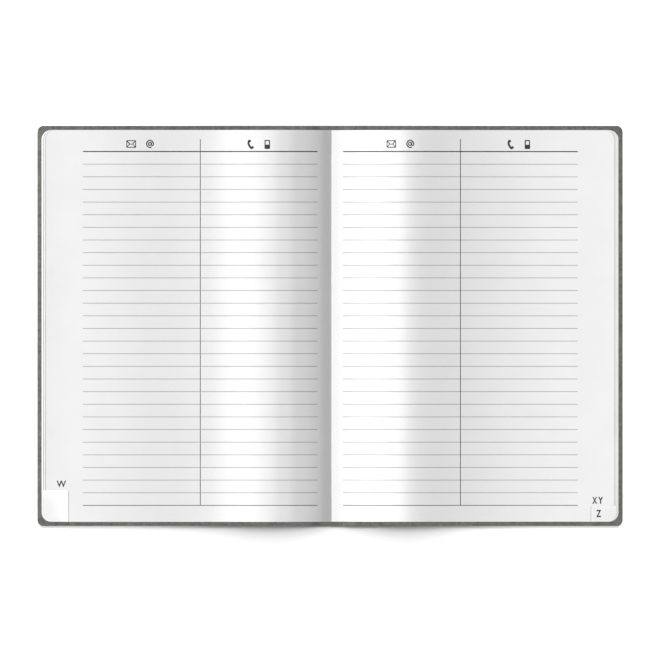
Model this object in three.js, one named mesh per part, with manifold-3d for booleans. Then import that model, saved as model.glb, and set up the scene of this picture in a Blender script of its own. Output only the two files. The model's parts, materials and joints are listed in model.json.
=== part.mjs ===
// Address book in a hard case, lying open flat at its W page (left) and its X-Y page (right).
// Millimetres, +Z up. X runs across the open spread and Y from the tail to the head of the pages.
// The origin is on the floor, under the middle of the spine.

import * as THREE from 'three';
import { mergeVertices } from 'three/addons/utils/BufferGeometryUtils.js';
import Module from 'manifold-3d';

const wasm = await Module();
wasm.setup();

// Leaves: outline
const PAGE_HEIGHT = 210;
const PAGE_REACH = 154.6; // spine centre to the fore edge of the lowest leaf
const TOP_LEAF_INSET = 2.4; // how far the top leaf's fore edge lies inside the lowest one's
const PAGE_RADIUS = 5;

// Leaves: the stepped index at the fore edge
const TABS = 25; // A to W, then X-Y together, then Z
const TABS_TURNED = 23; // sections turned over to the left, A to W
const SECTION = 0.2; // thickness of one tab's two leaves
const FRONT_MATTER = 0.5; // free endpaper and the leaves before A
const BACK_MATTER = 1.1; // the leaves after Z and the free endpaper
const INDEX_DEPTH = 12.1; // how far the steps are cut in from the fore edge
const INDEX_RADIUS = 1.1;

// Leaves: the curve of the open pages, as heights over each stack's flat part
const GUTTER_X = 0.8;
const GUTTER_FLOOR = 0.6; // paper left under the gutter
const LEFT_SWELL = 0.5;
const LEFT_SWELL_X = -120;
const LEFT_DIP = 1;
const LEFT_DIP_X = -66;
const LEFT_CREST = 2;
const LEFT_CREST_X = -32;
const RIGHT_CREST = 5.7;
const RIGHT_CREST_X = 37;
const RIGHT_LEVEL_X = 118;

// Case
const SQUARE = 2.15; // how far the case stands out past the lowest leaf, on three sides
const COVER_RADIUS = 3.2;
const CLOTH = 0.35;
const BOARD = 2.3;
const SPINE_BOARD = 1.2;
const ENDPAPER = 0.2;
const LINING = 0.4;
const TURN_IN = 15; // width of the covering folded over onto the inside
const ENDPAPER_MARGIN = 3.6; // cloth left showing round the pasted endpaper
const GROOVE = 7; // hinge line to the board
const GROOVE_DEPTH = 0.8;
const BLOCK_SLACK = 0.7; // air between the closed boards, over the leaves' own thickness

// Clearances
const SPINE_BOARD_SETBACK = 1.5; // spine board's edge to the hinge line
const LINING_SETBACK = 3.4; // lining's edge to the hinge line
const HINGE_GAP = 0.25; // edge of each covering panel to the hinge line
const FOLD_SETBACK = 0.75; // end of the folded-in layer to the hinge line
const ENDPAPER_SETBACK = 3.6; // near edge of the pasted endpaper to the hinge line
const WINDOW_SETBACK = 0.5; // board's near edge to the hollow between the turn-ins

const ARC_STEPS = 8;
const CURVE_STEPS = 14;
const PAST = 5; // how far a cutting tool runs past what it cuts

// Heights and reaches that follow from the sizes above
const boardTop = CLOTH + BOARD;
const turnInTop = boardTop + CLOTH;
const insideFace = turnInTop + ENDPAPER;
const spineBoardTop = CLOTH + SPINE_BOARD;
const leftStack = FRONT_MATTER + TABS_TURNED * SECTION;
const rightStack = BACK_MATTER + (TABS - TABS_TURNED) * SECTION;
const blockRoom = leftStack + rightStack + BLOCK_SLACK;
const hingeZ = CLOTH / 2;
const hingeX = blockRoom / 2 + insideFace - hingeZ;
const coverReach = PAGE_REACH + SQUARE - hingeX; // hinge line to the case's fore edge
const coverHalf = PAGE_HEIGHT / 2 + SQUARE;
const tabPitch = PAGE_HEIGHT / TABS;

const clothFinish = new THREE.MeshStandardMaterial({ color: 0x6b6b65, roughness: 0.7, metalness: 0 });
const boardFinish = new THREE.MeshStandardMaterial({ color: 0x8d877b, roughness: 0.95, metalness: 0 });
const paperFinish = new THREE.MeshStandardMaterial({ color: 0xf5f5f2, roughness: 0.9, metalness: 0 });
const liningFinish = new THREE.MeshStandardMaterial({ color: 0xdedbd0, roughness: 0.95, metalness: 0 });

// A closed three.js geometry as a solid that can be cut and joined.
function solidOf(geometry) {
  const bare = geometry.index ? geometry.clone() : geometry;
  bare.deleteAttribute('normal');
  bare.deleteAttribute('uv');
  const merged = mergeVertices(bare, 1e-5);
  return new wasm.Manifold(new wasm.Mesh({
    numProp: 3,
    vertProperties: new Float32Array(merged.attributes.position.array),
    triVerts: new Uint32Array(merged.index.array),
  }));
}

function meshOf(name, solid, material) {
  const { vertProperties, triVerts } = solid.getMesh();
  const geometry = new THREE.BufferGeometry();
  geometry.setAttribute('position', new THREE.BufferAttribute(new Float32Array(vertProperties), 3));
  geometry.setIndex(new THREE.BufferAttribute(new Uint32Array(triVerts), 1));
  geometry.computeVertexNormals();
  const mesh = new THREE.Mesh(geometry, material);
  mesh.name = name;
  return mesh;
}

function box(x0, x1, y0, y1, z0, z1) {
  const geometry = new THREE.BoxGeometry(Math.abs(x1 - x0), Math.abs(y1 - y0), Math.abs(z1 - z0));
  return solidOf(geometry.translate((x0 + x1) / 2, (y0 + y1) / 2, (z0 + z1) / 2));
}

// An outline drawn on the floor, raised from z0 to z1.
function upright(shape, z0, z1) {
  const geometry = new THREE.ExtrudeGeometry(shape, {
    depth: z1 - z0, bevelEnabled: false, curveSegments: ARC_STEPS,
  });
  return geometry.translate(0, 0, z0);
}

// An outline drawn in X and Z, run along Y from -half to half.
function alongY(shape, half, steps = CURVE_STEPS) {
  const geometry = new THREE.ExtrudeGeometry(shape, {
    depth: 2 * half, bevelEnabled: false, curveSegments: steps,
  });
  return solidOf(geometry.rotateX(Math.PI / 2).translate(0, half, 0));
}

// A panel from x = side * near to side * far, with its two far corners rounded.
function panelShape(side, near, far, half, radius) {
  const shape = new THREE.Shape();
  shape.moveTo(side * near, -half);
  shape.lineTo(side * (far - radius), -half);
  shape.quadraticCurveTo(side * far, -half, side * far, -half + radius);
  shape.lineTo(side * far, half - radius);
  shape.quadraticCurveTo(side * far, half, side * (far - radius), half);
  shape.lineTo(side * near, half);
  shape.closePath();
  return shape;
}

// One cover, drawn outward from its hinge line along side * X. It holds the board, the covering
// folded round three of its edges, and the endpaper pasted over the folds.
const boardNear = GROOVE;
const boardFar = coverReach - CLOTH;
const boardHalf = coverHalf - CLOTH;

function boardShape(side) {
  return panelShape(side, boardNear, boardFar, boardHalf, COVER_RADIUS - CLOTH);
}

// The covering's strip between hinge line and board: its outside is pressed up into a groove.
function grooveStrip(side, start, thickness, half) {
  const shape = new THREE.Shape();
  const rise = (u) => {
    const share = (u - HINGE_GAP) / (boardNear - HINGE_GAP);
    return GROOVE_DEPTH * Math.sin(Math.PI * share) ** 2;
  };
  const at = (step) => start + (boardNear - start) * step / CURVE_STEPS;
  shape.moveTo(side * start, rise(start));
  for (let step = 1; step <= CURVE_STEPS; step += 1) {
    shape.lineTo(side * at(step), rise(at(step)));
  }
  for (let step = CURVE_STEPS; step >= 0; step -= 1) {
    shape.lineTo(side * at(step), rise(at(step)) + thickness);
  }
  shape.closePath();
  return alongY(shape, half);
}

function coverCloth(side) {
  const windowHalf = coverHalf - TURN_IN;
  const outer = upright(panelShape(side, boardNear - CLOTH, coverReach, coverHalf, COVER_RADIUS), 0, turnInTop);
  const pocket = upright(boardShape(side), CLOTH, boardTop);
  const window = box(
    side * (boardNear - PAST), side * (coverReach - TURN_IN), -windowHalf, windowHalf, CLOTH, turnInTop + PAST,
  );
  const sheet = grooveStrip(side, HINGE_GAP, CLOTH, coverHalf);
  const folded = grooveStrip(side, FOLD_SETBACK, 2 * CLOTH, coverHalf);
  const between = box(side * -PAST, side * (boardNear + CLOTH + PAST), -windowHalf, windowHalf, -PAST, turnInTop);
  return solidOf(outer)
    .subtract(solidOf(pocket))
    .subtract(window)
    .add(sheet)
    .add(folded.subtract(between));
}

function coverEndpaper(side) {
  const near = ENDPAPER_SETBACK;
  const far = coverReach - ENDPAPER_MARGIN;
  const half = coverHalf - ENDPAPER_MARGIN;
  const windowNear = boardNear + WINDOW_SETBACK;
  const windowFar = coverReach - TURN_IN;
  const windowHalf = coverHalf - TURN_IN;
  const level = box(side * near, side * far, -half, half, turnInTop, insideFace);
  const sunk = box(
    side * windowNear, side * windowFar, -windowHalf, windowHalf, boardTop, insideFace,
  );
  const hollow = box(
    side * (windowNear + ENDPAPER), side * (windowFar - ENDPAPER),
    -windowHalf + ENDPAPER, windowHalf - ENDPAPER, boardTop + ENDPAPER, insideFace + PAST,
  );
  return level.add(sunk).subtract(hollow);
}

function cover(side, name) {
  const group = new THREE.Group();
  group.add(meshOf(`${name}_board`, solidOf(upright(boardShape(side), CLOTH, boardTop)), boardFinish));
  group.add(meshOf(`${name}_cloth`, coverCloth(side), clothFinish));
  group.add(meshOf(`${name}_endpaper`, coverEndpaper(side), paperFinish));
  group.position.x = side * hingeX;
  return group;
}

// The spine panel between the two hinge lines: a card stiffener with the covering folded over its
// head and tail ends, and the lining glued on the back of the leaves.
function spine() {
  const group = new THREE.Group();
  const boardEdge = hingeX - SPINE_BOARD_SETBACK;
  const clothEdge = hingeX - HINGE_GAP;
  const foldEdge = hingeX - FOLD_SETBACK;
  const windowHalf = coverHalf - TURN_IN;
  const stiffener = () => box(-boardEdge, boardEdge, -boardHalf, boardHalf, CLOTH, spineBoardTop);
  const sheet = box(-clothEdge, clothEdge, -coverHalf, coverHalf, 0, CLOTH);
  const low = box(-foldEdge, foldEdge, -coverHalf, coverHalf, 0, 2 * CLOTH);
  const high = box(
    -boardEdge - CLOTH, boardEdge + CLOTH, -coverHalf, coverHalf, 0, spineBoardTop + CLOTH,
  );
  const between = box(-hingeX, hingeX, -windowHalf, windowHalf, CLOTH, spineBoardTop + PAST);
  const covering = low.add(high).subtract(between).add(sheet).subtract(stiffener());
  group.add(meshOf('spine_board', stiffener(), boardFinish));
  group.add(meshOf('spine_cloth', covering, clothFinish));
  const liningEdge = hingeX - LINING_SETBACK;
  const lining = box(
    -liningEdge, liningEdge, -windowHalf, windowHalf, insideFace - LINING, insideFace,
  );
  group.add(meshOf('spine_lining', lining, liningFinish));
  return group;
}

// The section through the open leaves, with both fore edges fanned outward towards the bottom.
function spreadShape() {
  const leftTop = insideFace + leftStack;
  const rightTop = insideFace + rightStack;
  const gutterTop = insideFace + GUTTER_FLOOR;
  const shape = new THREE.Shape();
  let x = -PAGE_REACH + TOP_LEAF_INSET;
  let z = leftTop;
  // An S-shaped stretch of page: lead and trail are the shares of the run that leave and arrive level.
  const sweep = (toX, toZ, lead, trail) => {
    const run = toX - x;
    shape.bezierCurveTo(x + lead * run, z, toX - trail * run, toZ, toX, toZ);
    x = toX;
    z = toZ;
  };
  shape.moveTo(-PAGE_REACH, insideFace);
  shape.lineTo(x, z);
  sweep(LEFT_SWELL_X, leftTop + LEFT_SWELL, 0.35, 0.4);
  sweep(LEFT_DIP_X, leftTop - LEFT_DIP, 0.4, 0.35);
  sweep(LEFT_CREST_X, leftTop + LEFT_CREST, 0.4, 0.4);
  shape.bezierCurveTo(
    x + 0.35 * (GUTTER_X - x), z,
    GUTTER_X - 0.25 * (GUTTER_X - x), gutterTop + 0.55 * (z - gutterTop),
    GUTTER_X, gutterTop,
  );
  shape.bezierCurveTo(
    GUTTER_X + 0.06 * (RIGHT_CREST_X - GUTTER_X), gutterTop + 0.5 * (rightTop + RIGHT_CREST - gutterTop),
    GUTTER_X + 0.45 * (RIGHT_CREST_X - GUTTER_X), rightTop + RIGHT_CREST,
    RIGHT_CREST_X, rightTop + RIGHT_CREST,
  );
  x = RIGHT_CREST_X;
  z = rightTop + RIGHT_CREST;
  sweep(RIGHT_LEVEL_X, rightTop, 0.16, 0.62);
  shape.lineTo(PAGE_REACH - TOP_LEAF_INSET, rightTop);
  shape.lineTo(PAGE_REACH, insideFace);
  shape.closePath();
  return shape;
}

// Leans a tool inward with height, as the fanned fore edge leans.
function fanned(geometry, side, stack) {
  const lean = -side * TOP_LEAF_INSET / stack;
  const shear = new THREE.Matrix4().set(
    1, 0, lean, -lean * insideFace,
    0, 1, 0, 0,
    0, 0, 1, 0,
    0, 0, 0, 1,
  );
  return solidOf(geometry.applyMatrix4(shear));
}

// What is cut off a stack to round its fore-edge corner at the head (end = 1) or tail (end = -1).
function cornerTool(side, end, stack) {
  const reach = PAGE_REACH;
  const half = PAGE_HEIGHT / 2;
  const shape = new THREE.Shape();
  shape.moveTo(side * (reach - PAGE_RADIUS), end * half);
  shape.quadraticCurveTo(side * reach, end * half, side * reach, end * (half - PAGE_RADIUS));
  shape.lineTo(side * (reach + PAST), end * (half - PAGE_RADIUS));
  shape.lineTo(side * (reach + PAST), end * (half + PAST));
  shape.lineTo(side * (reach - PAGE_RADIUS), end * (half + PAST));
  shape.closePath();
  return fanned(upright(shape, insideFace - PAST, insideFace + stack + PAST), side, stack);
}

// What is cut out of section number tab: the fore-edge strip below that section's own tab.
function tabTool(side, tab, low, high, stack) {
  const inner = PAGE_REACH - INDEX_DEPTH;
  const outer = PAGE_REACH + PAST;
  const top = PAGE_HEIGHT / 2 - tab * tabPitch;
  const bottom = -PAGE_HEIGHT / 2 - PAST;
  const shape = new THREE.Shape();
  shape.moveTo(side * outer, top);
  shape.lineTo(side * (inner + INDEX_RADIUS), top);
  shape.quadraticCurveTo(side * inner, top, side * inner, top - INDEX_RADIUS);
  shape.lineTo(side * inner, bottom);
  shape.lineTo(side * outer, bottom);
  shape.closePath();
  return fanned(upright(shape, low, high), side, stack);
}

// All the leaves as one solid. Left, each section is cut back under the one above it, which leaves
// a flight of steps upside down; right, the steps face up.
function pages() {
  let block = alongY(spreadShape(), PAGE_HEIGHT / 2);
  for (const end of [-1, 1]) {
    block = block.subtract(cornerTool(-1, end, leftStack));
    block = block.subtract(cornerTool(1, end, rightStack));
  }
  for (let tab = 1; tab <= TABS_TURNED; tab += 1) {
    const low = insideFace + FRONT_MATTER + (tab - 1) * SECTION;
    const overlap = tab > 1 ? SECTION / 2 : 0;
    const high = tab < TABS_TURNED ? low + SECTION : low + SECTION + PAST;
    block = block.subtract(tabTool(-1, tab, low - overlap, high, leftStack));
  }
  for (let tab = TABS_TURNED + 1; tab < TABS; tab += 1) {
    const low = insideFace + BACK_MATTER + (TABS - tab) * SECTION;
    block = block.subtract(tabTool(1, tab, low, low + SECTION + PAST, rightStack));
  }
  return meshOf('pages', block, paperFinish);
}

const book = new THREE.Group();
book.add(cover(-1, 'front'));
book.add(spine());
book.add(cover(1, 'back'));
book.add(pages());

export default book;
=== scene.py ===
"""Address book lying open at its W and X-Y pages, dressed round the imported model.

Sizes are in millimetres until a mesh is finished, and then in metres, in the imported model's frame:
X runs across the open spread, Y from the tail to the head of the pages, and Z up.
"""
import json
import math
import random

import bmesh
import bpy
import numpy as np
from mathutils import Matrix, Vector
from mathutils.bvhtree import BVHTree


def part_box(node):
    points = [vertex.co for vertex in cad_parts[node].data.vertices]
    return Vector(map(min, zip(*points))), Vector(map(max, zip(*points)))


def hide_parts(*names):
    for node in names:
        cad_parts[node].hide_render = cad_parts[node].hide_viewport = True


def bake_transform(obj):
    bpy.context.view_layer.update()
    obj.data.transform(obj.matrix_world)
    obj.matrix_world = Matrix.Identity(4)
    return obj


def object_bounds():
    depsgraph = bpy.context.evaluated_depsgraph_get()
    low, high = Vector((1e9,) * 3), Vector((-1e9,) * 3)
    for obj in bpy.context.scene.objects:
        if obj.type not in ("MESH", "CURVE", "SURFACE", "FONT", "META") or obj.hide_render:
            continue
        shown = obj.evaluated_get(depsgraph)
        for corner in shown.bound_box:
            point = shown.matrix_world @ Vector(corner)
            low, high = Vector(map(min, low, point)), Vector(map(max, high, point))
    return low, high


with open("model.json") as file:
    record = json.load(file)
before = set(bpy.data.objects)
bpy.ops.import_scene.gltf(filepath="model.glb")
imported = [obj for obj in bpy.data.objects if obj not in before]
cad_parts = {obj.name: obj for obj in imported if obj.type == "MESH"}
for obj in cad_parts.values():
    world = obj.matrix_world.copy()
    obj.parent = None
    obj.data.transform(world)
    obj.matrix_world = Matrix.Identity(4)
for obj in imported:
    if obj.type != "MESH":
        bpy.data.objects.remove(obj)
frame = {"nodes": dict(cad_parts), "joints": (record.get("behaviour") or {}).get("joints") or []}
cad_low, cad_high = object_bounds()
nodes = frame["nodes"]
MM = 0.001

# The photograph's frame
PHOTO_PX = 660
PAGE_HEIGHT_PX = 392
PAGE_HEIGHT = 210
MM_PER_PX = PAGE_HEIGHT / PAGE_HEIGHT_PX
BOOK_CENTRE_PX = (330, 325.9)


def photo_x(px):
    return (px - BOOK_CENTRE_PX[0]) * MM_PER_PX


def photo_y(px):
    return (BOOK_CENTRE_PX[1] - px) * MM_PER_PX


# Camera: straight above, far away, with a long lens
LENS = 1000
SENSOR = 36
camera_data = bpy.data.cameras.new("camera")
camera_data.lens = LENS
camera_data.sensor_width = SENSOR
camera_data.clip_end = 40
camera = bpy.data.objects.new("camera", camera_data)
bpy.context.scene.collection.objects.link(camera)
camera_distance = PHOTO_PX * MM_PER_PX * MM * LENS / SENSOR
camera.location = (0, photo_y(PHOTO_PX / 2) * MM, cad_high.z + camera_distance)
bpy.context.scene.camera = camera

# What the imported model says, in millimetres
pages_low, pages_high = [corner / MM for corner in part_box("pages")]
inside_face = pages_low.z
page_reach = pages_high.x
page_half = pages_high.y
CASE_GROWTH = 0.15 # the covering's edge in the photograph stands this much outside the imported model's
case_reach = cad_high.x / MM + CASE_GROWTH
case_half = cad_high.y / MM + CASE_GROWTH
hinge_x = {joint["name"]: joint["pos_m"][0] / MM for joint in frame["joints"]}["back_hinge"]
CLOTH = 0.35
turn_in_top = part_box("front_cloth")[1].z / MM
board_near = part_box("back_board")[0].x / MM
spine_board_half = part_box("spine_board")[1].x / MM
spine_board_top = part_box("spine_board")[1].z / MM

# Index and leaves
TABS = 25
TABS_TURNED = 23
LEAVES_PER_TAB = 2
FRONT_LEAVES = 5 # with the free endpaper
BACK_LEAVES = 11 # with the free endpaper
# Thickness of one tab's leaves, and of the leaves and endpaper before the index and after it
SECTION = 0.2
FRONT_MATTER = 0.5
BACK_MATTER = 1.1
FRONT_SHARE = FRONT_MATTER / (FRONT_MATTER + TABS_TURNED * SECTION)
BACK_SHARE = BACK_MATTER / (BACK_MATTER + (TABS - TABS_TURNED) * SECTION)
INDEX_RADIUS = 1.1
TOP_LEAF_INSET = 2.4
PAGE_RADIUS = 5
CORNER_POINTS = 9
GUTTER_X = 0.8
tab_pitch = PAGE_HEIGHT / TABS

rng = random.Random(7)


def arc(count, start, end):
    """count even steps from start to end, both included."""
    return [start + (end - start) * k / (count - 1) for k in range(count)]


QUARTER = arc(CORNER_POINTS, 0, math.pi / 2)


def new_object(name, data):
    item = bpy.data.objects.new(name, data)
    bpy.context.scene.collection.objects.link(item)
    return item


def mesh_of(holder):
    """The finished mesh of an object that was only needed to make it."""
    made = bpy.data.meshes.new_from_object(holder.evaluated_get(bpy.context.evaluated_depsgraph_get()))
    bpy.data.objects.remove(holder)
    return made


def thickened(mesh, thickness):
    """A one-sided sheet given its thickness, inward."""
    holder = new_object("holder", mesh)
    shell = holder.modifiers.new("thickness", "SOLIDIFY")
    shell.thickness = thickness * MM
    shell.offset = -1
    shell.use_even_offset = True
    made = mesh_of(holder)
    bpy.data.meshes.remove(mesh)
    return made


def finish_mesh(name, bm, materials, smooth_angle=35, thickness=0):
    """A bmesh drawn in millimetres becomes an object in metres."""
    bmesh.ops.scale(bm, vec=(MM, MM, MM), verts=bm.verts)
    mesh = bpy.data.meshes.new(name)
    bm.to_mesh(mesh)
    bm.free()
    if thickness:
        mesh = thickened(mesh, thickness)
        mesh.name = name
    for finish in materials:
        mesh.materials.append(finish)
    mesh.polygons.foreach_set("use_smooth", [True] * len(mesh.polygons))
    mesh.set_sharp_from_angle(angle=math.radians(smooth_angle))
    rest = mesh.attributes.new("rest", "FLOAT_VECTOR", "POINT")
    co = np.zeros(len(mesh.vertices) * 3, np.float32)
    mesh.vertices.foreach_get("co", co)
    rest.data.foreach_set("vector", co)
    return new_object(name, mesh)


# Materials
def material(name, colour, roughness, specular):
    made = bpy.data.materials.new(name)
    made.use_nodes = True
    shader = made.node_tree.nodes["Principled BSDF"]
    shader.inputs["Base Color"].default_value = (*colour, 1)
    shader.inputs["Roughness"].default_value = roughness
    shader.inputs["Specular IOR Level"].default_value = specular
    return made


class Nodes:
    """Short names for building a material's nodes."""

    def __init__(self, made):
        self.tree = made.node_tree
        self.shader = self.tree.nodes["Principled BSDF"]

    def add(self, kind, **inputs):
        node = self.tree.nodes.new(kind)
        for key, value in inputs.items():
            node.inputs[key.replace("_", " ")].default_value = value
        return node

    def link(self, output, target):
        self.tree.links.new(output, target)

    def place(self):
        """The surface's own place in metres, kept when the piece bends."""
        here = self.tree.nodes.new("ShaderNodeAttribute")
        here.attribute_name = "rest"
        return here.outputs["Vector"]

    def node_place(self):
        """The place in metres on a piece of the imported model, which never bends."""
        return self.tree.nodes.new("ShaderNodeTexCoord").outputs["Object"]

    def noise(self, where, scale, detail, roughness=0.55):
        node = self.add("ShaderNodeTexNoise", Scale=scale, Detail=detail, Roughness=roughness)
        self.link(where, node.inputs["Vector"])
        return node.outputs["Fac"]

    def ramp(self, value, low, high, dark, light):
        node = self.tree.nodes.new("ShaderNodeValToRGB")
        node.color_ramp.elements[0].position = low
        node.color_ramp.elements[1].position = high
        node.color_ramp.elements[0].color = (*dark, 1)
        node.color_ramp.elements[1].color = (*light, 1)
        self.link(value, node.inputs["Fac"])
        return node.outputs["Color"]

    def bump(self, height, distance, strength, below=None):
        node = self.add("ShaderNodeBump", Strength=strength, Distance=distance)
        self.link(height, node.inputs["Height"])
        if below is not None:
            self.link(below, node.inputs["Normal"])
        return node.outputs["Normal"]


def paper_material(name, colour, dark, packed=False):
    """Paper from colour to dark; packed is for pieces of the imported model."""
    made = material(name, colour, roughness=0.85, specular=0.25)
    n = Nodes(made)
    where = n.node_place() if packed else n.place()
    fibre = n.noise(where, scale=2600, detail=5)
    cloud = n.noise(where, scale=55, detail=2)
    tone = n.ramp(cloud, low=0.35, high=0.65, dark=dark, light=colour)
    n.link(tone, n.shader.inputs["Base Color"])
    n.link(n.bump(fibre, distance=0.00003, strength=0.35), n.shader.inputs["Normal"])
    return made


def leatherette_material():
    made = material("leatherette", (0.15, 0.15, 0.136), roughness=0.7, specular=0.2)
    n = Nodes(made)
    where = n.place()
    cells = n.add("ShaderNodeTexVoronoi", Scale=1900.0)
    cells.feature = "DISTANCE_TO_EDGE"
    n.link(where, cells.inputs["Vector"])
    grain = n.noise(where, scale=2400, detail=3)
    mottle = n.noise(where, scale=520, detail=6, roughness=0.7)
    dark, light = (0.095, 0.095, 0.086), (0.195, 0.194, 0.178)
    n.link(n.ramp(mottle, low=0.33, high=0.67, dark=dark, light=light), n.shader.inputs["Base Color"])
    coarse = n.bump(cells.outputs["Distance"], distance=0.00012, strength=0.5)
    fine = n.bump(grain, distance=0.00005, strength=0.4, below=coarse)
    n.link(fine, n.shader.inputs["Normal"])
    return made


def greyboard_material():
    made = material("greyboard", (0.28, 0.25, 0.2), roughness=0.95, specular=0.2)
    n = Nodes(made)
    fibre = n.noise(n.node_place(), scale=900, detail=6)
    dark, light = (0.2, 0.18, 0.145), (0.34, 0.31, 0.25)
    n.link(n.ramp(fibre, low=0.35, high=0.7, dark=dark, light=light), n.shader.inputs["Base Color"])
    return made


def lining_material():
    made = material("lining", (0.75, 0.73, 0.66), roughness=0.95, specular=0.2)
    n = Nodes(made)
    weave = n.add("ShaderNodeTexBrick", Scale=700.0)
    n.link(n.node_place(), weave.inputs["Vector"])
    n.link(n.bump(weave.outputs["Fac"], distance=0.0001, strength=0.6), n.shader.inputs["Normal"])
    return made


paper = paper_material("paper", (0.908, 0.899, 0.902), (0.888, 0.879, 0.881))
# Painted shade: the leaves' cut edges are a darker copy of the paper
cut_edge_painted_shade = paper_material("cut_edge_painted_shade", (0.7, 0.695, 0.68), (0.62, 0.615, 0.6))
# Painted shade and painted shadow: greys for the thin lines along the leaves' edges and index notches
painted_dark_shade = paper_material("painted_dark_shade", (0.55, 0.55, 0.545), (0.49, 0.49, 0.485))
painted_shadow_grey = paper_material("painted_shadow_grey", (0.69, 0.69, 0.685), (0.64, 0.64, 0.635))
painted_pale_shade = paper_material("painted_pale_shade", (0.76, 0.76, 0.755), (0.71, 0.71, 0.705))
leatherette = leatherette_material()
ink_rule = paper_material("ink_rule", (0.375, 0.365, 0.365), (0.35, 0.34, 0.34))
ink_dark = paper_material("ink_dark", (0.05, 0.047, 0.047), (0.042, 0.04, 0.04))

# The open leaves' upper surface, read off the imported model
pages_tree = BVHTree.FromObject(nodes["pages"], bpy.context.evaluated_depsgraph_get())
LEVEL_EDGE = page_reach - TOP_LEAF_INSET - 0.3 # just inside the top leaf's fore edge
GUTTER_MERGE = 0.02 # the two pages start this far from the gutter's middle
CORNER_MARGIN = PAGE_RADIUS + 3 # the round corners' points aren't part of the curve
ABOVE_FACE = 0.3 # and neither are those of the solid's underside


def cast_height(x):
    hit = pages_tree.ray_cast(Vector((x * MM, 0, 1)), Vector((0, 0, -1)))[0]
    return hit.z / MM


def profile_knots(side):
    """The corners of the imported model's page curve on one side of the gutter, outward."""
    found = {GUTTER_X + side * GUTTER_MERGE, side * LEVEL_EDGE}
    for vertex in nodes["pages"].data.vertices:
        x, y, z = vertex.co / MM
        on_end = abs(abs(y) - page_half) < 1e-3 and z > inside_face + ABOVE_FACE
        if on_end and side * (x - GUTTER_X) > 0.1 and abs(x) < page_reach - CORNER_MARGIN:
            found.add(round(x, 4))
    xs = sorted(found, key=lambda x: side * x)
    return np.array(xs), np.array([cast_height(x) for x in xs])


def knot_slopes(xs, zs):
    """Slopes of a smooth curve through the knots that never overshoots them."""
    chord = np.diff(zs) / np.diff(xs)
    slopes = np.zeros(len(xs))
    slopes[0], slopes[-1] = chord[0], 0
    for k in range(1, len(xs) - 1):
        if chord[k - 1] * chord[k] > 0:
            slopes[k] = 2 * chord[k - 1] * chord[k] / (chord[k - 1] + chord[k])
    return slopes


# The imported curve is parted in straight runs, so the stretch between gutter and crest is drawn anew.
# CREST_SHIFT is how far right the rest of the curve moves, and PAGE_START gives each new knot as
# shares of the way out and of the way up to the crest.
CREST_SHIFT = {-1: 1.2, 1: 4}
PAGE_START = {
    -1: ((0.2, 0.365), (0.48, 0.7), (0.744, 0.915)),
    1: ((0.09, 0.03), (0.22, 0.13), (0.85, 0.93)),
}


def dressed_knots(side):
    """The gutter's knot, the knots of PAGE_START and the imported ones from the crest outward."""
    xs, zs = profile_knots(side)
    crest = int(np.argmax(zs))
    outer = xs[crest:] + CREST_SHIFT[side]
    start_xs = [xs[0] + out * (outer[0] - xs[0]) for out, up in PAGE_START[side]]
    start_zs = [zs[0] + up * (zs[crest] - zs[0]) for out, up in PAGE_START[side]]
    return np.array([xs[0], *start_xs, *outer]), np.array([zs[0], *start_zs, *zs[crest:]])


KNOTS = {side: dressed_knots(side) for side in (-1, 1)}
SLOPES = {side: knot_slopes(*KNOTS[side]) for side in (-1, 1)}


def page_top(side, x):
    """Height of the open page at x, along a smooth curve through the knots."""
    xs, zs = KNOTS[side]
    x = max(min(xs[0], xs[-1]), min(max(xs[0], xs[-1]), x))
    k = int(np.clip(np.searchsorted(side * xs, side * x) - 1, 0, len(xs) - 2))
    run = xs[k + 1] - xs[k]
    t = (x - xs[k]) / run
    first, last = SLOPES[side][k], SLOPES[side][k + 1]
    return float(
        (2 * t**3 - 3 * t**2 + 1) * zs[k] + (t**3 - 2 * t**2 + t) * run * first
        + (3 * t**2 - 2 * t**3) * zs[k + 1] + (t**3 - t**2) * run * last
    )


# Distances from the gutter, each with the number of steps between them
STATION_SPANS = ((0, 6, 12), (6, 30, 18), (30, 75, 24), (75, 149, 24))


def station_list(side):
    """Places across one page, from the gutter outward, closer together where it curves."""
    found = [GUTTER_X + side * GUTTER_MERGE]
    for low, high, count in STATION_SPANS:
        for step in range(1, count + 1):
            found.append(GUTTER_X + side * (low + (high - low) * step / count))
    return found


STATIONS = {side: station_list(side) for side in (-1, 1)}
EDGE_LIFT_FROM = 105 # a leaf lies on the ones below as far out as here


def edge_lift(x, reach, lift):
    """How far a loose leaf stands up off the ones below towards its fore edge."""
    return lift * max(0, (abs(x) - EDGE_LIFT_FROM) / (reach - EDGE_LIFT_FROM)) ** 2


def notch_edge(past, cut):
    """Lowest place of a leaf that the index cuts, past the notch's inner wall."""
    rounding = max(0, INDEX_RADIUS - past)
    return -page_half + cut - INDEX_RADIUS + math.sqrt(INDEX_RADIUS**2 - rounding**2)


# The right-hand leaves are this much shorter at head and tail, so that the ends of the two halves
# don't share a plane where they meet in the closed book
BACK_SHORTER = 0.06
# Round its index notch a leaf has its own places instead of the stations near them, all counted
# outward from the notch's inner wall
NOTCH_CLEAR = (-0.7, INDEX_RADIUS + 0.3)
NOTCH_STEPS = (-0.6, 0, 1e-3, 0.12, 0.35, 0.7, INDEX_RADIUS)
AT_WALL = 5e-4
CORNER_CLEAR = 0.5 # no station is closer to a leaf's round corner
LEAF_EDGE = 1 # the edges' place in the leaves' materials, where the cut edges get a darker copy of the paper as painted shade


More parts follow.
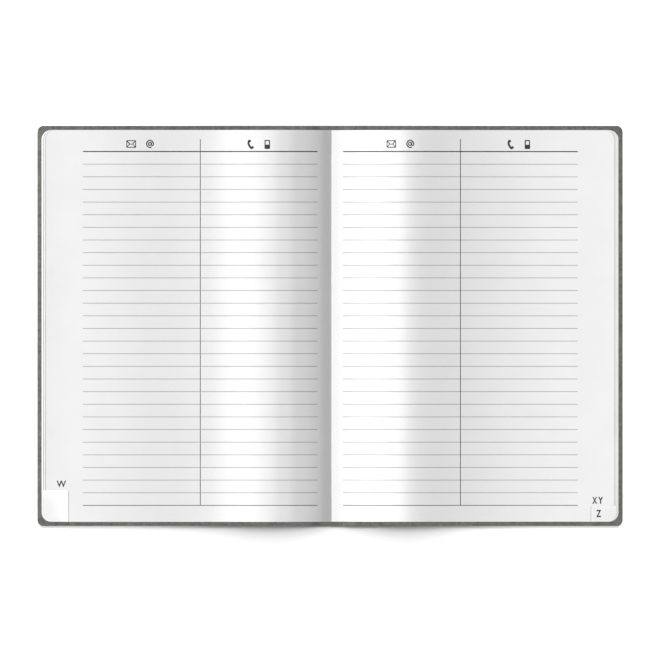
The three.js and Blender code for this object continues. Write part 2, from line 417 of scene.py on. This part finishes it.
def leaf(bm, side, reach, low, high, tail_cut=0.0, lift=0.0, inner=0.0):
    """One leaf from the gutter to its fore edge, as a closed sheet between two shares of the stack.

    tail_cut is the length of its fore-edge strip that the index cuts away at the tail, and inner is
    how far out the inner wall of that notch is.
    """
    xs = [x for x in STATIONS[side] if abs(x) < reach - PAGE_RADIUS - CORNER_CLEAR]
    xs += [side * (reach - PAGE_RADIUS * (1 - math.sin(a))) for a in QUARTER]
    if tail_cut:
        xs = [x for x in xs if not NOTCH_CLEAR[0] < abs(x) - inner < NOTCH_CLEAR[1]]
        xs += [side * (inner + d) for d in NOTCH_STEPS]
    xs.sort(key=lambda x: side * x)
    half = page_half - (BACK_SHORTER if side > 0 else 0)
    rows = []
    for x in xs:
        past = max(0, abs(x) - (reach - PAGE_RADIUS))
        rounding = PAGE_RADIUS - math.sqrt(max(0, PAGE_RADIUS**2 - past**2))
        head = half - rounding
        tail = -half + rounding
        if tail_cut and abs(x) > inner + AT_WALL:
            tail = max(tail, notch_edge(abs(x) - inner, tail_cut))
        top = page_top(side, x) - inside_face
        rise = edge_lift(x, reach, lift)
        rows.append((x, tail, head, inside_face + top * low + rise, inside_face + top * high + rise))
    rings = []
    for x, tail, head, z0, z1 in rows:
        rings.append([[bm.verts.new((x, y, z)) for y in (tail, head)] for z in (z0, z1)])
    for a, b in zip(rings, rings[1:]):
        bm.faces.new([a[0][0], a[0][1], b[0][1], b[0][0]])
        bm.faces.new([b[1][0], b[1][1], a[1][1], a[1][0]])
        for k in range(2):
            bm.faces.new([a[0][k], b[0][k], b[1][k], a[1][k]]).material_index = LEAF_EDGE
    for ring in (rings[0], rings[-1]):
        bm.faces.new([*ring[0], *ring[1][::-1]]).material_index = LEAF_EDGE


def leaf_stack(name, side, plan):
    """plan is a list of what leaf() needs for each leaf, bottom leaf first."""
    bm = bmesh.new()
    for item in plan:
        leaf(bm, side, **item)
    bmesh.ops.remove_doubles(bm, verts=bm.verts, dist=1e-4)
    bmesh.ops.dissolve_degenerate(bm, edges=bm.edges, dist=1e-5)
    bmesh.ops.recalc_face_normals(bm, faces=bm.faces)
    return finish_mesh(name, bm, [paper, cut_edge_painted_shade])


AIR = 0.06 # share of each leaf's room that is air


def leaf_shares(count, low, high):
    """Low and high shares for count leaves that fill a band of the stack."""
    pitch = (high - low) / count
    shares = [(low + pitch * (k + AIR), low + pitch * (k + 1)) for k in range(count)]
    return [{"low": bottom, "high": top} for bottom, top in shares]


def photo_reach(px):
    return abs(photo_x(px))


# The top leaves and the ones under them as the photograph shows them: fore edges, the inner walls of
# the index notches, and how far the top leaf's fore edge stands up
LEFT_TOP_REACH = photo_reach(45.0)
LEFT_UNDER_REACH = photo_reach(43.0)
LEFT_WALL = photo_reach(67.95)
RIGHT_TOP_REACH = photo_reach(616.0)
RIGHT_UNDER_REACH = photo_reach(618.2)
RIGHT_WALL = photo_reach(591.8)
LEFT_LIFT = 0.05
RIGHT_LIFT = 0.4

# The other leaves' fore edges: how far each kind is spread at random, how much further in the tab
# leaves on the left start than the lowest leaf, and how much further the highest of them are
FRONT_SPREAD = 0.15
BACK_SPREAD = 0.12
TAB_SPREAD = 0.1
TAB_INSET = 0.2
TAB_SLANT = 0.5


def left_plan():
    plan = []
    for room in leaf_shares(FRONT_LEAVES, 0, FRONT_SHARE):
        plan.append({"reach": page_reach - FRONT_SPREAD * rng.random(), **room})
    band = (1 - FRONT_SHARE) / TABS_TURNED
    for tab in range(1, TABS_TURNED + 1):
        start = FRONT_SHARE + (tab - 1) * band
        cut = PAGE_HEIGHT - tab * tab_pitch
        for room in leaf_shares(LEAVES_PER_TAB, start, start + band):
            inset = TAB_INSET + TAB_SLANT * (room["low"] - FRONT_SHARE) + TAB_SPREAD * rng.random()
            plan.append({"reach": page_reach - inset, "tail_cut": cut, "inner": LEFT_WALL, **room})
    plan[-2]["reach"] = LEFT_UNDER_REACH
    plan[-1].update(reach=LEFT_TOP_REACH, lift=LEFT_LIFT)
    return plan


def right_plan():
    plan = []
    for room in leaf_shares(BACK_LEAVES, 0, BACK_SHARE):
        plan.append({"reach": page_reach - BACK_SPREAD * rng.random(), **room})
    last_tab_share = (1 + BACK_SHARE) / 2
    for room in leaf_shares(LEAVES_PER_TAB, BACK_SHARE, last_tab_share):
        plan.append({"reach": RIGHT_UNDER_REACH - TAB_SPREAD * rng.random(), **room})
    for room in leaf_shares(LEAVES_PER_TAB, last_tab_share, 1):
        reach = RIGHT_TOP_REACH + TAB_SPREAD * rng.random()
        plan.append({"reach": reach, "tail_cut": tab_pitch, "inner": RIGHT_WALL, **room})
    plan[-1].update(reach=RIGHT_TOP_REACH, lift=RIGHT_LIFT)
    return plan


left_leaves = leaf_stack("left_leaves", -1, left_plan())
right_leaves = leaf_stack("right_leaves", 1, right_plan())


def bend_with_page(item, side):
    """Bakes the item's transform into its mesh, the same on either side."""
    if side < 0:
        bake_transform(item)
    else:
        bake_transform(item)


bend_with_page(left_leaves, -1)
bend_with_page(right_leaves, 1)
for item in (left_leaves, right_leaves):
    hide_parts("pages")


# The covering, from a fore edge to the middle of the spine
EDGE_RADIUS = 0.4
FLAT_MARGIN = 0.1 # beyond it the flat is shaded flat
CASE_RADIUS = 3.2
GROOVE_RISE = 0.8
TURN_IN = 15
SHEET = CLOTH - 0.02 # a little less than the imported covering, to stay clear of the boards
GROOVE_START = spine_board_half + CLOTH
GROOVE_END = board_near - CLOTH
TOUCH = 0.01


def covering_stations():
    """Places across the covering from the middle of the spine to where its corners start."""
    return [
        0, *(spine_board_half + d for d in (-1, -0.2, 0.15)),
        *arc(12, GROOVE_START, GROOVE_END),
        *(board_near + d for d in (-0.15, 0.1, 1)),
        *arc(8, board_near + 6, case_reach - CASE_RADIUS),
    ]


def covering_levels(x):
    """Height of the covering's underside and of its turned-in top, which is taut across the groove."""
    spine_top = spine_board_top + CLOTH
    if x <= spine_board_half + TOUCH:
        return 0.0, spine_top
    if x >= GROOVE_END + TOUCH:
        return 0.0, turn_in_top
    share = max(0, (x - hinge_x) / (board_near - hinge_x))
    across = (x - spine_board_half) / (GROOVE_END - spine_board_half)
    return GROOVE_RISE * math.sin(math.pi * share) ** 2, spine_top + (turn_in_top - spine_top) * across


def covering_profile(low, high):
    """Insets and heights from the turned-in layer's inner edge, round the edge, to the underside."""
    radius = min(EDGE_RADIUS, (high - low) / 2)
    quarter = arc(6, 0, math.pi / 2)
    flat = radius + FLAT_MARGIN
    return [
        (TURN_IN, high), (TURN_IN / 2, high), (flat, high),
        *((radius - radius * math.sin(a), high - radius + radius * math.cos(a)) for a in quarter),
        *((radius - radius * math.cos(a), low + radius - radius * math.sin(a)) for a in quarter),
        (flat, low),
    ]


def covering(name, side):
    """Outside of the covering as one open sheet, given its thickness inward by a modifier."""
    straight = covering_stations()
    path = [(x, -case_half, 0, 1, *covering_levels(x)) for x in straight]
    cx, cy = case_reach - CASE_RADIUS, -case_half + CASE_RADIUS
    for a in QUARTER[1:]:
        nx, ny = -math.sin(a), math.cos(a)
        path.append((cx - CASE_RADIUS * nx, cy - CASE_RADIUS * ny, nx, ny, 0, turn_in_top))
    path += [(x, -y, nx, -ny, low, high) for x, y, nx, ny, low, high in reversed(path)]

    bm = bmesh.new()
    columns = []
    for x, y, nx, ny, low, high in path:
        column = []
        for inset, z in covering_profile(low, high):
            px, py = min(x + nx * inset, case_reach - inset), y + ny * inset
            if inset > CASE_RADIUS:
                py = math.copysign(case_half - inset, y)
            column.append(bm.verts.new((side * px, py, z)))
        columns.append(column)
    for a, b in zip(columns, columns[1:]):
        for k in range(len(a) - 1):
            bm.faces.new([a[k], a[k + 1], b[k + 1], b[k]])
    under = [column[-1] for column in columns]
    last = len(straight) - 1
    for k in range(last):
        bm.faces.new([under[k], under[k + 1], under[-2 - k], under[-1 - k]])
    bm.faces.new(under[last:-last])
    bmesh.ops.remove_doubles(bm, verts=bm.verts, dist=1e-4)
    bmesh.ops.recalc_face_normals(bm, faces=bm.faces)
    return finish_mesh(name, bm, [leatherette], smooth_angle=50, thickness=SHEET)


front_covering = covering("front_covering", -1)
back_covering = covering("back_covering", 1)
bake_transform(front_covering)
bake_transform(back_covering)
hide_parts("front_cloth", "spine_cloth")
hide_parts("back_cloth", "spine_cloth")

greyboard = greyboard_material()
lining = lining_material()
pasted_paper = paper_material("pasted_paper", (0.9, 0.9, 0.89), (0.87, 0.87, 0.86), packed=True)
FINISH = {
    "front_board": greyboard, "back_board": greyboard, "spine_board": greyboard,
    "front_endpaper": pasted_paper, "back_endpaper": pasted_paper, "spine_lining": lining,
}
for name, made in FINISH.items():
    nodes[name].data.materials.clear()
    nodes[name].data.materials.append(made)


# Print on the two open pages, and painted shade along the leaves' edges and index notches
# Two inks, then three painted shades that stand in for the shade and shadow along the leaves' edges and
# notches
PRINT_FINISHES = [ink_rule, ink_dark, painted_dark_shade, painted_pale_shade, painted_shadow_grey]
GREY_INK, INK, DARK_PAINTED_SHADE, PALE_PAINTED_SHADE, GREY_PAINTED_SHADOW = range(len(PRINT_FINISHES))
RULE_WIDTH = 0.34
LINE_WIDTH = 0.35
COLUMN_WIDTH = 0.4
HEADER_WIDTH = 0.58
PRINT_LIFT = 0.02
PLAIN_SWELL = 0.022 # how much bolder than the typeface a letter is
NARROW_SWELL = 0.036
LAST_SWELL = 0.03
HEADER_PX = 151.5
ROW_PX = 12.64
ROWS = 28
COLUMN_TOP_PX = 138.9
# Where each page's rules start and end and where its column line is, in pixels
PAGE_PRINT = {-1: (82.8, 317.5, 200.25), 1: (343.0, 577.9, 460.5)}


class Print:
    """Flat print gathered on z = 0, then laid on the page."""

    def __init__(self):
        self.bm = bmesh.new()

    def strip(self, near, far, tone):
        """A band between two rows of points."""
        for k in range(len(near) - 1):
            corners = (near[k], near[k + 1], far[k + 1], far[k])
            face = self.bm.faces.new([self.bm.verts.new((x, y, 0)) for x, y in corners])
            face.material_index = tone

    def bar(self, x0, x1, y0, y1, tone):
        self.strip([(x0, y0), (x1, y0)], [(x0, y1), (x1, y1)], tone)

    def flat_rule(self, px0, px1, py, width, tone):
        y = photo_y(py)
        self.bar(photo_x(px0), photo_x(px1), y - width / 2, y + width / 2, tone)

    def upright_rule(self, px, py0, py1, width, tone):
        x = photo_x(px)
        self.bar(x - width / 2, x + width / 2, photo_y(py1), photo_y(py0), tone)

    def outline(self, points, holes=()):
        """A filled outline with holes, by way of a flat curve."""
        curve = bpy.data.curves.new("print_outline", "CURVE")
        curve.dimensions = "2D"
        curve.fill_mode = "BOTH"
        for ring in (points, *holes):
            spline = curve.splines.new("POLY")
            spline.points.add(len(ring) - 1)
            for point, (x, y) in zip(spline.points, ring):
                point.co = (x, y, 0, 1)
            spline.use_cyclic_u = True
        self.take(curve)

    def letter(self, text, px_box, swell):
        """A plain letter of the built-in typeface, fitted to a box of the photograph."""
        curve = bpy.data.curves.new("print_letter", "FONT")
        curve.body = text
        curve.offset = swell
        self.take(curve, px_box)

    def take(self, curve, px_box=None):
        """A curve's filled shape joins the print, in dark ink."""
        holder = new_object("print_holder", curve)
        bpy.context.view_layer.update()
        mesh = mesh_of(holder)
        if px_box:
            co = np.array([v.co for v in mesh.vertices])
            low, span = co.min(0), np.ptp(co, 0)
            x0, y1, x1, y0 = px_box
            for v in mesh.vertices:
                sx = (v.co.x - low[0]) / span[0]
                sy = (v.co.y - low[1]) / span[1]
                v.co.x = photo_x(x0) + sx * (photo_x(x1) - photo_x(x0))
                v.co.y = photo_y(y0) + sy * (photo_y(y1) - photo_y(y0))
        for v in mesh.vertices:
            v.co.z = 0
        before = len(self.bm.faces)
        self.bm.from_mesh(mesh)
        self.bm.faces.ensure_lookup_table()
        for face in self.bm.faces[before:]:
            face.material_index = INK
        bpy.data.meshes.remove(mesh)

    def lay(self, name, side, drop=0.0, reach=page_reach, lift=0.0):
        """The print follows the page's curve; drop is how far below the top leaf its own leaf lies."""
        bm = self.bm
        xs = [v.co.x for v in bm.verts]
        for x in STATIONS[side]:
            if min(xs) < x < max(xs):
                everything = bm.verts[:] + bm.edges[:] + bm.faces[:]
                cut = {"plane_co": (x, 0, 0), "plane_no": (1, 0, 0), "dist": 1e-5}
                bmesh.ops.bisect_plane(bm, geom=everything, **cut)
        for v in bm.verts:
            v.co.z = page_top(side, v.co.x) + PRINT_LIFT - drop + edge_lift(v.co.x, reach, lift)
        bmesh.ops.recalc_face_normals(bm, faces=bm.faces)
        for face in bm.faces:
            if face.normal.z < 0:
                face.normal_flip()
        item = finish_mesh(name, bm, PRINT_FINISHES)
        bend_with_page(item, side)


def ring_outline(x, y, width, height, radius):
    """A rounded rectangle about a centre."""
    points = []
    for sx, sy, turn in ((1, 1, 0), (-1, 1, 90), (-1, -1, 180), (1, -1, 270)):
        cx = x + sx * (width / 2 - radius)
        cy = y + sy * (height / 2 - radius)
        for a in arc(5, math.radians(turn), math.radians(turn + 90)):
            points.append((cx + radius * math.cos(a), cy + radius * math.sin(a)))
    return points


def stroke(points, width):
    """A line of even width through points, with square ends."""
    left, right = [], []
    for k, (x, y) in enumerate(points):
        ax, ay = points[max(0, k - 1)]
        bx, by = points[min(len(points) - 1, k + 1)]
        length = math.hypot(bx - ax, by - ay)
        nx, ny = -(by - ay) / length, (bx - ax) / length
        left.append((x + nx * width / 2, y + ny * width / 2))
        right.append((x - nx * width / 2, y - ny * width / 2))
    return left + right[::-1]


def ring_shares(radius, start, end):
    """Points of a ring about the middle of a sign's box, by shares of the box."""
    turns = arc(25, math.radians(start), math.radians(end))
    return [(0.5 + radius * math.cos(a), 0.5 - radius * math.sin(a)) for a in turns]


class Sign:
    """A small printed sign, drawn by shares of its box: u runs right and v runs down."""

    def __init__(self, sheet, px0, px1, py0, py1):
        self.sheet = sheet
        self.x, self.y = photo_x(px0), photo_y(py0)
        self.width, self.height = photo_x(px1) - photo_x(px0), photo_y(py0) - photo_y(py1)

    def spot(self, u, v):
        return self.x + u * self.width, self.y - v * self.height

    def line(self, shares, width):
        self.sheet.outline(stroke([self.spot(u, v) for u, v in shares], width))

    def panel(self, hole, radius, hole_radius=0.1):
        """The whole box, filled but for a rounded hole from (u0, v0) to (u1, v1)."""
        u0, v0, u1, v1 = hole
        x, y = self.spot((u0 + u1) / 2, (v0 + v1) / 2)
        inside = ring_outline(x, y, (u1 - u0) * self.width, (v1 - v0) * self.height, hole_radius)
        outside = ring_outline(*self.spot(0.5, 0.5), self.width, self.height, radius)
        self.sheet.outline(outside, [inside])


def envelope_sign(sheet, *px_box):
    sign = Sign(sheet, *px_box)
    sign.panel((0.09, 0.12, 0.91, 0.88), radius=0.3)
    sign.line([(0.06, 0.08), (0.38, 0.53), (0.62, 0.53), (0.94, 0.08)], width=0.52)
    sign.line([(0.06, 0.92), (0.34, 0.5)], width=0.4)
    sign.line([(0.94, 0.92), (0.66, 0.5)], width=0.4)


def at_sign(sheet, *px_box):
    """A ring that ends in the small ring's stem, drawn anticlockwise from the stem."""
    sign = Sign(sheet, *px_box)
    stem = [(0.69, 0.3), (0.67, 0.6), (0.74, 0.7), (0.84, 0.68)]
    sign.line(stem + ring_shares(0.43, -15, 300), width=0.62)
    sign.line([(u - 0.03, v) for u, v in ring_shares(0.18, 0, 345)], width=0.6)


def mobile_sign(sheet, *px_box):
    Sign(sheet, *px_box).panel((0.21, 0.13, 0.8, 0.52), radius=0.5)


def handset_sign(sheet, *px_box):
    """A telephone handset: a bowed grip from the cap at the top left to the one at the bottom right."""
    sign = Sign(sheet, *px_box)
    grip = [(0.22, 0.1), (0.15, 0.32), (0.19, 0.47), (0.29, 0.62), (0.44, 0.77), (0.68, 0.92)]
    sign.line(grip, width=1.12)
    sign.line([(0.11, 0.12), (0.54, 0.14)], width=1.25)
    sign.line([(0.56, 0.93), (0.96, 0.74)], width=1.25)


def page_print(side):
    sheet = Print()
    left, right, column = PAGE_PRINT[side]
    bottom = HEADER_PX + ROW_PX * ROWS
    sheet.flat_rule(left, right, HEADER_PX, HEADER_WIDTH, INK)
    for row in range(1, ROWS):
        sheet.flat_rule(left, right, HEADER_PX + row * ROW_PX, RULE_WIDTH, GREY_INK)
    sheet.flat_rule(left, right, bottom, LINE_WIDTH, INK)
    sheet.upright_rule(column, COLUMN_TOP_PX, bottom, COLUMN_WIDTH, INK)
    return sheet


def leaf_corner(side, end, reach, turns):
    """A leaf's round corner at its head (end 1) or tail (end -1), with the inward directions."""
    cx, cy = side * (reach - PAGE_RADIUS), end * (page_half - PAGE_RADIUS)
    found = []
    for a in turns:
        nx, ny = -side * math.sin(a), -end * math.cos(a)
        found.append((cx - PAGE_RADIUS * nx, cy - PAGE_RADIUS * ny, nx, ny))
    return found


THINNING = 5 # points over which a margin thins out at its end
NOTCH_GAP = 0.05 # a fore edge's margin stops this far before the notch


def painted_shade_rim(sheet, side, reach, width, tone, notch=None):
    """A line of painted shade just inside a leaf's fore edge, from its head to its tail or its notch.

    notch is the length that the index cuts away at the tail. The margin thins out at head and tail.
    """
    path = leaf_corner(side, 1, reach, QUARTER)
    if notch is None:
        path += leaf_corner(side, -1, reach, QUARTER[::-1])
    else:
        path.append((side * reach, -page_half + notch + NOTCH_GAP, -side, 0))
    inner = []
    for k, (x, y, nx, ny) in enumerate(path):
        own = width * min(1, k / THINNING)
        if notch is None:
            own = min(own, width * (len(path) - 1 - k) / THINNING)
        inner.append((x + nx * own, y + ny * own))
    sheet.strip([(x, y) for x, y, nx, ny in path], inner, tone)


NOTCH_THINNING = 0.75 # how much narrower a margin is along the notch's end than along its wall


def painted_notch_shade(sheet, side, wall, cut, width, tone, end=None):
    """The painted shade along a notch's inner wall, round its corner and out to end."""
    points = [(0, -page_half, 1, 0)]
    for a in arc(7, 0, math.pi / 2):
        past = INDEX_RADIUS * (1 - math.cos(a))
        y = notch_edge(0, cut) + INDEX_RADIUS * math.sin(a)
        points.append((past, y, math.cos(a), math.sin(a)))
    if end:
        points.append((end - wall, -page_half + cut, 0, 1))
    near = [(side * (wall + past), y) for past, y, nx, ny in points]
    far = []
    for past, y, nx, ny in points:
        own = width * (1 - ny * NOTCH_THINNING)
        far.append((side * (wall + past - nx * own), y + ny * own))
    sheet.strip(near, far, tone)


# Widths of the painted shade lines
LEFT_RIM = 0.42
LEFT_NOTCH_RIM = 0.54
RIGHT_TOP_RIM = 1.0
RIGHT_UNDER_RIM = 0.9
RIGHT_NOTCH_RIM = 0.9
left_cut = (TABS - TABS_TURNED) * tab_pitch
left_height = page_top(-1, -page_reach) - inside_face
right_height = page_top(1, page_reach) - inside_face
# How far below the top leaf the left side's next leaf and the right side's last tab lie
left_drop = left_height * (1 - FRONT_SHARE) / TABS_TURNED / LEAVES_PER_TAB
right_drop = right_height * (1 - BACK_SHARE) / (TABS - TABS_TURNED)

# Painted shade and shadow: grey lines along the top leaves' fore edges and index notches, and along the
# lower leaves' edges
left_painted_shade = Print()
painted_shade_rim(left_painted_shade, -1, LEFT_TOP_REACH, LEFT_RIM, DARK_PAINTED_SHADE, left_cut)
painted_notch_shade(left_painted_shade, -1, LEFT_WALL, left_cut, LEFT_NOTCH_RIM, DARK_PAINTED_SHADE)
left_painted_shade.lay("left_leaf_painted_shade", -1, reach=LEFT_TOP_REACH, lift=LEFT_LIFT)
under_painted_shade = Print()
painted_shade_rim(under_painted_shade, -1, LEFT_UNDER_REACH, LEFT_RIM, DARK_PAINTED_SHADE, left_cut)
under_painted_shade.lay("under_leaf_painted_shade", -1, drop=left_drop)
right_painted_shade = Print()
painted_shade_rim(right_painted_shade, 1, RIGHT_TOP_REACH, RIGHT_TOP_RIM, GREY_PAINTED_SHADOW, tab_pitch)
painted_notch_shade(right_painted_shade, 1, RIGHT_WALL, tab_pitch, RIGHT_NOTCH_RIM, PALE_PAINTED_SHADE, RIGHT_TOP_REACH)
right_painted_shade.lay("right_leaf_painted_shade", 1, reach=RIGHT_TOP_REACH, lift=RIGHT_LIFT)
last_painted_shade = Print()
painted_shade_rim(last_painted_shade, 1, RIGHT_UNDER_REACH - TAB_SPREAD, RIGHT_UNDER_RIM, PALE_PAINTED_SHADE)
last_painted_shade.lay("last_leaf_painted_shade", 1, drop=right_drop)

left_print = page_print(-1)
envelope_sign(left_print, 126.3, 136.0, 140.2, 147.7)
at_sign(left_print, 146.0, 153.9, 139.7, 148.0)
handset_sign(left_print, 247.5, 253.7, 139.8, 149.2)
mobile_sign(left_print, 264.5, 270.0, 139.9, 149.0)
left_print.letter("W", (56.5, 480.6, 66.1, 487.2), PLAIN_SWELL)
left_print.lay("left_print", -1, reach=LEFT_TOP_REACH, lift=LEFT_LIFT)

right_print = page_print(1)
envelope_sign(right_print, 386.6, 396.0, 140.2, 147.7)
at_sign(right_print, 406.3, 414.2, 139.7, 148.0)
handset_sign(right_print, 507.7, 513.8, 139.8, 149.2)
mobile_sign(right_print, 524.8, 530.2, 139.9, 149.0)
right_print.letter("X", (592.3, 497.0, 597.4, 504.0), NARROW_SWELL)
right_print.letter("Y", (598.1, 497.0, 603.4, 504.0), NARROW_SWELL)
right_print.lay("right_print", 1, reach=RIGHT_TOP_REACH, lift=RIGHT_LIFT)

last_tab = Print()
last_tab.letter("Z", (596.4, 510.0, 601.3, 517.3), LAST_SWELL)
last_tab.lay("last_tab_print", 1, drop=right_drop)

# Floor and light, in metres
FLOOR = 3.0
FLOOR_DROP = 0.00005
SIDE_GLOW = 0.45
GLOW_FROM = 0.04
GLOW_FULL = 0.125
SKY_STRENGTH = 0.34
floor_mesh = bpy.data.meshes.new("floor")
corners = [(x * FLOOR, y * FLOOR, 0) for x, y in ((-1, -1), (1, -1), (1, 1), (-1, 1))]
floor_mesh.from_pydata(corners, [], [(0, 1, 2, 3)])
floor = new_object("floor", floor_mesh)
floor.location.z = -FLOOR_DROP
floor_material = material("floor", (0.93, 0.93, 0.93), roughness=0.9, specular=0.1)
floor_mesh.materials.append(floor_material)


def seen_directly(tree):
    """1 for rays from the camera or from a mirror or glass, and 0 for the rest."""
    rays = tree.nodes.new("ShaderNodeLightPath")
    value = rays.outputs["Is Camera Ray"]
    for name in ("Is Glossy Ray", "Is Transmission Ray"):
        either = tree.nodes.new("ShaderNodeMath")
        either.operation = "MAXIMUM"
        tree.links.new(value, either.inputs[0])
        tree.links.new(rays.outputs[name], either.inputs[1])
        value = either.outputs[0]
    return value


def lightened_for_camera(made):
    """The floor shows lighter than it lights the object, the more so the further to the sides."""
    tree = made.node_tree
    place = tree.nodes.new("ShaderNodeNewGeometry")
    split = tree.nodes.new("ShaderNodeSeparateXYZ")
    tree.links.new(place.outputs["Position"], split.inputs[0])
    aside = tree.nodes.new("ShaderNodeMath")
    aside.operation = "ABSOLUTE"
    tree.links.new(split.outputs["X"], aside.inputs[0])
    amount = tree.nodes.new("ShaderNodeMapRange")
    amount.interpolation_type = "SMOOTHSTEP"
    for name, value in (("From Min", GLOW_FROM), ("From Max", GLOW_FULL), ("To Max", SIDE_GLOW)):
        amount.inputs[name].default_value = value
    tree.links.new(aside.outputs[0], amount.inputs["Value"])
    scaled = tree.nodes.new("ShaderNodeMath")
    scaled.operation = "MULTIPLY"
    tree.links.new(amount.outputs["Result"], scaled.inputs[1])
    tree.links.new(seen_directly(tree), scaled.inputs[0])
    glow = tree.nodes.new("ShaderNodeEmission")
    tree.links.new(scaled.outputs[0], glow.inputs["Strength"])
    both = tree.nodes.new("ShaderNodeAddShader")
    tree.links.new(tree.nodes["Principled BSDF"].outputs[0], both.inputs[0])
    tree.links.new(glow.outputs[0], both.inputs[1])
    tree.links.new(both.outputs[0], tree.nodes["Material Output"].inputs["Surface"])


lightened_for_camera(floor_material)


def sun(name, towards, energy, softness):
    lamp = bpy.data.lights.new(name, "SUN")
    lamp.energy = energy
    lamp.angle = math.radians(softness)
    item = new_object(name, lamp)
    item.rotation_euler = Vector(towards).to_track_quat("Z", "Y").to_euler()
    return item


key = sun("key", towards=(-0.9, 0, 0.42), energy=4.7, softness=20)
key.data.use_shadow = False
floor_light = sun("floor_light", towards=(0, 0.707, 0.707), energy=3.25, softness=70)
floor_spot = sun("floor_spot", towards=(0, 0.407, 0.914), energy=0.7, softness=18)


def floor_link(lamp, state):
    """The floor alone for a lamp, or all but the floor."""
    receivers = bpy.data.collections.new(lamp.name + "_receivers")
    receivers.objects.link(floor)
    receivers.collection_objects[0].light_linking.link_state = state
    lamp.light_linking.receiver_collection = receivers


floor_link(key, "EXCLUDE")
floor_link(floor_light, "INCLUDE")
floor_link(floor_spot, "INCLUDE")

world = bpy.data.worlds.new("world")
world.use_nodes = True
sky = world.node_tree.nodes["Background"]
sky.inputs["Color"].default_value = (1, 1, 1, 1)
level = world.node_tree.nodes.new("ShaderNodeMapRange")
level.inputs["To Min"].default_value = SKY_STRENGTH
level.inputs["To Max"].default_value = 1
world.node_tree.links.new(seen_directly(world.node_tree), level.inputs["Value"])
world.node_tree.links.new(level.outputs["Result"], sky.inputs["Strength"])
bpy.context.scene.world = world
bpy.context.scene.view_settings.view_transform = "Standard"
